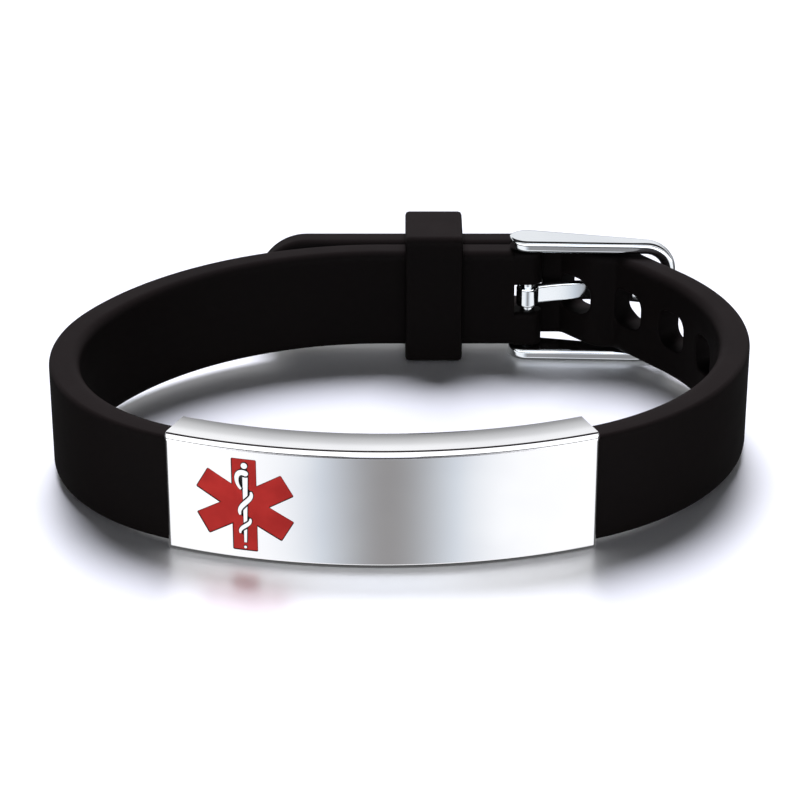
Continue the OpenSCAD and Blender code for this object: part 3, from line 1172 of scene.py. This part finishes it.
@dataclass
class Plate:
    """The curved steel plate and its enamelled star, from welded copies of the CAD nodes."""

    line: StrapLine
    outer: float = 52.0
    height: float = 12.0
    bevel: float = 0.5
    recess: float = 0.3
    star: float = 9.4
    star_offset: float = 12.6
    soft: float = 0.14
    soft_rings: int = 4
    soft_from: float = 25.0
    soft_room: float = 0.05
    crown: tuple[float, float] = (-12.5, -0.5)
    level_limit: float = 0.06
    lid_limit: float = 0.99
    star_room: tuple[float, float] = (0.5, 0.05)
    depth_room: tuple[float, float] = (0.02, 0.03)
    edge_room: float = 0.2
    # Rises of the two front-edge strips where a dark reflection is painted, and their half width.
    painted_reflection_rises: tuple[float, float] = (67.5, 22.5)
    painted_reflection_half: float = 12.0
    # How the lower strip's painted reflection fades from the middle: most, fall per millimetre,
    # least.
    painted_reflection_fade: Triple = (1.1, 0.05, 0.1)

    def polar(self, points: np.ndarray) -> tuple[np.ndarray, np.ndarray, np.ndarray]:
        """Points seen from the plate's axis.

        Args:
            points: shape (n, 3), in metres.

        Returns:
            Unit directions away from the axis, distances from it and heights above the plate's
            middle, the last two in millimetres.
        """
        centre = self.line.origin + [0, self.line.plate_radius, 0]
        away = points / MM - centre
        radius = np.linalg.norm(away[:, :2], axis=1)
        return away[:, :2] / radius[:, None], radius, away[:, 2]

    def softened(self, mesh: bpy.types.Mesh, soft: float) -> None:
        """Welds a mesh and rounds the long edges of the plate's section.

        Args:
            mesh: the plate's copied mesh.
            soft: how far the edges are rounded.
        """
        work = bmesh.new()
        work.from_mesh(mesh)
        bmesh.ops.remove_doubles(work, verts=work.verts, dist=WELD)
        if soft:
            work.edges.ensure_lookup_table()
            ends = np.array([[v.co for v in edge.verts] for edge in work.edges])
            turn = np.degrees([edge.calc_face_angle(0.0) for edge in work.edges])
            _, reach, high = zip(*(self.polar(ends[:, i]) for i in (0, 1)))
            inset = self.bevel + self.soft_room
            outer = np.minimum(*reach) > self.outer - inset
            high = np.minimum(*np.abs(high)) > self.height / 2 - inset
            picked = [work.edges[i] for i in np.flatnonzero((turn > self.soft_from) & outer & high)]
            bmesh.ops.bevel(work, geom=picked, offset=soft * MM, offset_type="OFFSET", profile=0.5,
                            segments=self.soft_rings, affect="EDGES", clamp_overlap=True)
        work.to_mesh(mesh)
        work.free()

    def turned_normals(self, mesh: bpy.types.Mesh, normal: np.ndarray, middle: np.ndarray) -> None:
        """Gives a mesh the exact normals of surfaces round the plate's axis.

        A face whose normal has no part along the turn belongs to a surface of revolution. Each of
        its corners gets that face's radial and upward parts, with the radial part turned to the
        corner's own direction from the axis. The top and bottom faces are crowned: their normals
        lean by an angle that grows evenly from the back edge to the front edge. Other faces stay
        flat.

        Args:
            mesh: the copied mesh.
            normal: its faces' own normals.
            middle: its faces' middles.
        """
        owner = np.repeat(np.arange(len(normal)), read(mesh.polygons, "loop_total", 1, int)[:, 0])
        place = read(mesh.vertices, "co")[read(mesh.loops, "vertex_index", 1, int)[:, 0]]
        radial = (normal[:, :2] * self.polar(middle)[0]).sum(1)
        level = np.sqrt(np.maximum(1 - radial ** 2 - normal[:, 2] ** 2, 0))
        out, reach, _ = self.polar(place)
        back, front = reach.min(), self.outer - self.bevel
        share = np.clip((reach - back) / (front - back), 0, 1)
        lean = np.radians(self.crown[0] + (self.crown[1] - self.crown[0]) * share)
        lid = (np.abs(normal[:, 2]) > self.lid_limit)[owner]
        across = np.where(lid, np.sin(lean), radial[owner])
        flat = normal[owner]
        up = np.where(lid, np.cos(lean) * np.sign(flat[:, 2]), flat[:, 2])
        smooth = np.concatenate([out * across[:, None], up[:, None]], 1)
        smooth /= np.maximum(np.linalg.norm(smooth, axis=1), TINY)[:, None]
        mesh.shade_smooth()
        turned = (level < self.level_limit)[owner]
        mesh.normals_split_custom_set(np.where(turned[:, None], smooth, flat).tolist())

    def paint_dark_faces(self, mesh: bpy.types.Mesh, normal: np.ndarray, middle: np.ndarray) -> None:
        """Marks the faces where the steel paints shade and a dark reflection in black.

        The painted shade fills the star's recess. Two strips of the rounded front edge, picked by how
        far their normals rise, carry a painted dark reflection; the lower strip fades with the
        distance from the middle.

        Args:
            mesh: the copied mesh.
            normal: its faces' own normals.
            middle: its faces' middles.
        """
        out, radius, height = self.polar(middle)
        aside = out[:, 0] * self.outer
        # Painted shade: the faces of the star's recess.
        dark = radius < self.outer - self.depth_room[0]
        dark &= radius > self.outer - self.recess - self.depth_room[1]
        dark &= np.abs(height) < self.star / 2 + self.star_room[1]
        dark &= np.abs(aside + self.star_offset) < self.star / 2 + self.star_room[0]
        # Painted dark reflection: two strips of the rounded front edge.
        rise = np.degrees(np.arcsin(np.clip(normal[:, 2], -1, 1)))
        edge = radius > self.outer - self.bevel - self.edge_room
        upper, lower = ((np.abs(rise - at) < self.painted_reflection_half) & edge for at in self.painted_reflection_rises)
        most, slope, least = self.painted_reflection_fade
        painted_reflection_tone = np.clip(most - slope * np.abs(aside), least, 1.0)
        painted_mark = np.where(dark | upper, 1.0, np.where(lower, painted_reflection_tone, 0.0)).astype(np.float32)
        mesh.attributes.new(PAINTED_DARK, "FLOAT", "FACE").data.foreach_set("value", painted_mark)

    def copied(self, node: str, name: str, finish: Finish, soft: float = 0.0) -> bpy.types.Object:
        """Copies a node, welds it, and gives it exact normals and its marks of painted shade and
        reflection.

        Args:
            node: the CAD node.
            name: the copy's name.
            finish: its finish.
            soft: how far its long edges are rounded.

        Returns:
            The piece that stands for the node.
        """
        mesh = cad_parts[node].data.copy()
        mesh.name = name
        self.softened(mesh, soft)
        normal, middle = read(mesh.polygons, "normal"), read(mesh.polygons, "center")
        self.turned_normals(mesh, normal, middle)
        self.paint_dark_faces(mesh, normal, middle)
        piece = dress(bpy.data.objects.new(name, mesh), finish)
        LOG.info("%s: %d faces", name, len(mesh.polygons))
        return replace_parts(piece, node)

    def build(self) -> None:
        """Makes the plate and the star."""
        self.copied("id_plate", "plate_sleeve", Finish.PLATE, self.soft)
        self.copied("star_enamel", "star_fill", Finish.ENAMEL)


# ---- light and camera


@dataclass(frozen=True)
class Lamp:
    """A broad soft lamp far away.

    Its azimuth runs anticlockwise from the camera's side, its elevation up from the floor, and its
    spread is how broad it looks, all in degrees. Shine says whether it shows in reflections.
    """

    name: str
    azimuth: float
    elevation: float
    spread: float
    power: float
    tint: Triple
    shine: bool

    def hang(self) -> None:
        """Adds the lamp, aimed along the direction that its two angles give."""
        light = bpy.data.lights.new(self.name, "SUN")
        light.energy, light.angle, light.color = self.power, math.radians(self.spread), self.tint
        made = bpy.data.objects.new(self.name, light)
        a, e = math.radians(self.azimuth), math.radians(self.elevation)
        way = Vector((math.sin(a) * math.cos(e), -math.cos(a) * math.cos(e), math.sin(e)))
        made.rotation_mode = "QUATERNION"
        made.rotation_quaternion = way.to_track_quat("Z", "Y")
        made.visible_glossy = self.shine
        bpy.context.scene.collection.objects.link(made)


@dataclass
class Studio:
    """A pale floor under soft light, and the camera."""

    line: StrapLine
    lamps: tuple[Lamp, ...] = (Lamp("key", 184, 55, 33, 8.8, (0.97, 0.985, 1.12), False),
                               Lamp("fill", 0, 36, 30, 0.22, (0.95, 0.97, 1.12), True))
    elevation: float = 25.259
    distance: float = 277.072
    aim: Triple = (1.638, 30.116, -3.906)
    focal_pixels: float = 2710.734
    picture: int = 800
    sensor: float = 36.0
    clip: tuple[float, float] = (0.01, 10.0)
    reach: float = 1.5
    brightest: float = 2.6
    backdrop: float = 1.1
    bands: tuple[tuple[float, float], ...] = (
        (-180, 1.1), (-133, 1.1), (-120, 0.10), (-90, 0.06), (-36, 0.15), (0, 0.25), (5, 0.36),
        (9, 0.54), (15, 0.72), (19, 0.95), (32, 1.0), (35, 0.02), (104, 0.02), (107, 1.4),
        (120, 1.4), (122, 0.02), (138, 0.02), (142, 2.6), (174, 2.6), (180, 1.1))
    gap_at: float = 1.0
    gap_width: float = 17.0
    gap_below: tuple[float, ...] = (-42.0, -36.0, -14.0, -8.0)
    gap_above: tuple[float, ...] = (4.0, 12.0, 44.0, 54.0)
    above_share: float = 0.4
    gap_tones: tuple[tuple[float, Triple], ...] = (
        (0.0, (0.972, 0.978, 1.0)), (0.45, (0.60, 0.64, 0.70)), (1.0, (0.275, 0.27, 0.275)))

    def floor(self) -> None:
        """Lays the plain pale floor that the bracelet stands on.

        The floor touches the lower edges of the plate in front and the buckle at the back, so it
        rises towards the front by the difference of their heights over the distance between them.
        """
        plate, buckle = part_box("id_plate")[0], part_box("buckle_frame")[0]
        slope, far = (plate[2] - buckle[2]) / (buckle[1] - plate[1]), self.reach
        low, high = (buckle[2] + slope * (buckle[1] - y) for y in (far, -far))
        mesh = bpy.data.meshes.new("floor")
        corners = [(-far, -far, high), (far, -far, high), (far, far, low), (-far, far, low)]
        mesh.from_pydata(corners, [], [(0, 1, 2, 3)])
        mesh.materials.append(White().material("floor_white"))
        piece = bpy.data.objects.new("floor", mesh)
        bpy.context.scene.collection.objects.link(piece)
        piece.visible_glossy = False

    def world(self) -> None:
        """Makes the white surroundings that the steel mirrors.

        They are read by the angle from the far horizon up over the top and down to the near side,
        as a share of the full circle. Two dark gaps lie between the lights overhead, and a dim
        upright one in front, weaker above the horizon than below it. The camera sees a plain
        white backdrop in their place.
        """
        made = bpy.data.worlds.new("studio")
        bpy.context.scene.world = made
        made.use_nodes = True
        made.cycles_visibility.diffuse = False
        sheet = NodeSheet(made.node_tree)
        way = sheet.node("ShaderNodeTexCoord").outputs["Generated"]
        parts = sheet.node("ShaderNodeSeparateXYZ", {}, {0: way})
        x, y, z = (Term(sheet, parts.outputs[i]) for i in range(3))
        round_share = sheet.maths("ARCTAN2", z, y) / (2 * math.pi) + 0.5
        tones = [(angle / 360 + 0.5, (tone / self.brightest,) * 3) for angle, tone in self.bands]
        bands = sheet.stops(round_share, *tones)
        aside = sheet.maths("ARCTAN2", x, -y) * (180 / math.pi)
        low = sheet.maths("ARCSINE", z) * (180 / math.pi)
        gap = sheet.maths("EXPONENT", -(((aside - self.gap_at) / self.gap_width) ** 2.0))
        gap = gap * (low.window(self.gap_below) + self.above_share * low.window(self.gap_above))
        both = sheet.blend(1.0, bands, sheet.stops(gap, *self.gap_tones), "MULTIPLY")
        straight = sheet.node("ShaderNodeLightPath").outputs["Is Camera Ray"]
        seen = sheet.blend(Term(sheet, straight), both, (self.backdrop / self.brightest,) * 3)
        glow = sheet.node("ShaderNodeBackground", {}, {"Color": seen, "Strength": self.brightest})
        sheet.node("ShaderNodeOutputWorld", {}, {"Surface": glow.outputs[0]})

    def camera(self) -> None:
        """Sets the camera: a long lens that looks down at the plate from its elevation."""
        e = math.radians(self.elevation)
        back = self.distance * np.array([0, -math.cos(e), math.sin(e)])
        place = self.line.origin + self.aim + back
        data = bpy.data.cameras.new("camera")
        data.sensor_width, data.lens = self.sensor, self.sensor * self.focal_pixels / self.picture
        data.clip_start, data.clip_end = self.clip
        made = bpy.data.objects.new("camera", data)
        made.location = Vector(place * MM)
        made.rotation_mode = "XYZ"
        made.rotation_euler = (math.pi / 2 - e, 0, 0)
        bpy.context.scene.collection.objects.link(made)
        bpy.context.scene.camera = made

    def build(self) -> None:
        """Makes the floor, the light and the camera."""
        self.floor()
        self.world()
        for lamp in self.lamps:
            lamp.hang()
        self.camera()
        view = bpy.context.scene.view_settings
        view.view_transform, view.look = "Standard", "None"


def main() -> None:
    """Builds the bracelet's sub-assemblies in order."""
    logging.basicConfig(level=logging.INFO, format="%(name)s %(message)s")
    line = StrapLine()
    Strap(line).build()
    Keeper(line).build()
    buckle = Buckle(line)
    buckle.build_frame()
    buckle.build_bar()
    buckle.build_tongue()
    Plate(line).build()
    Studio(line).build()


if __name__ == "__main__":
    main()
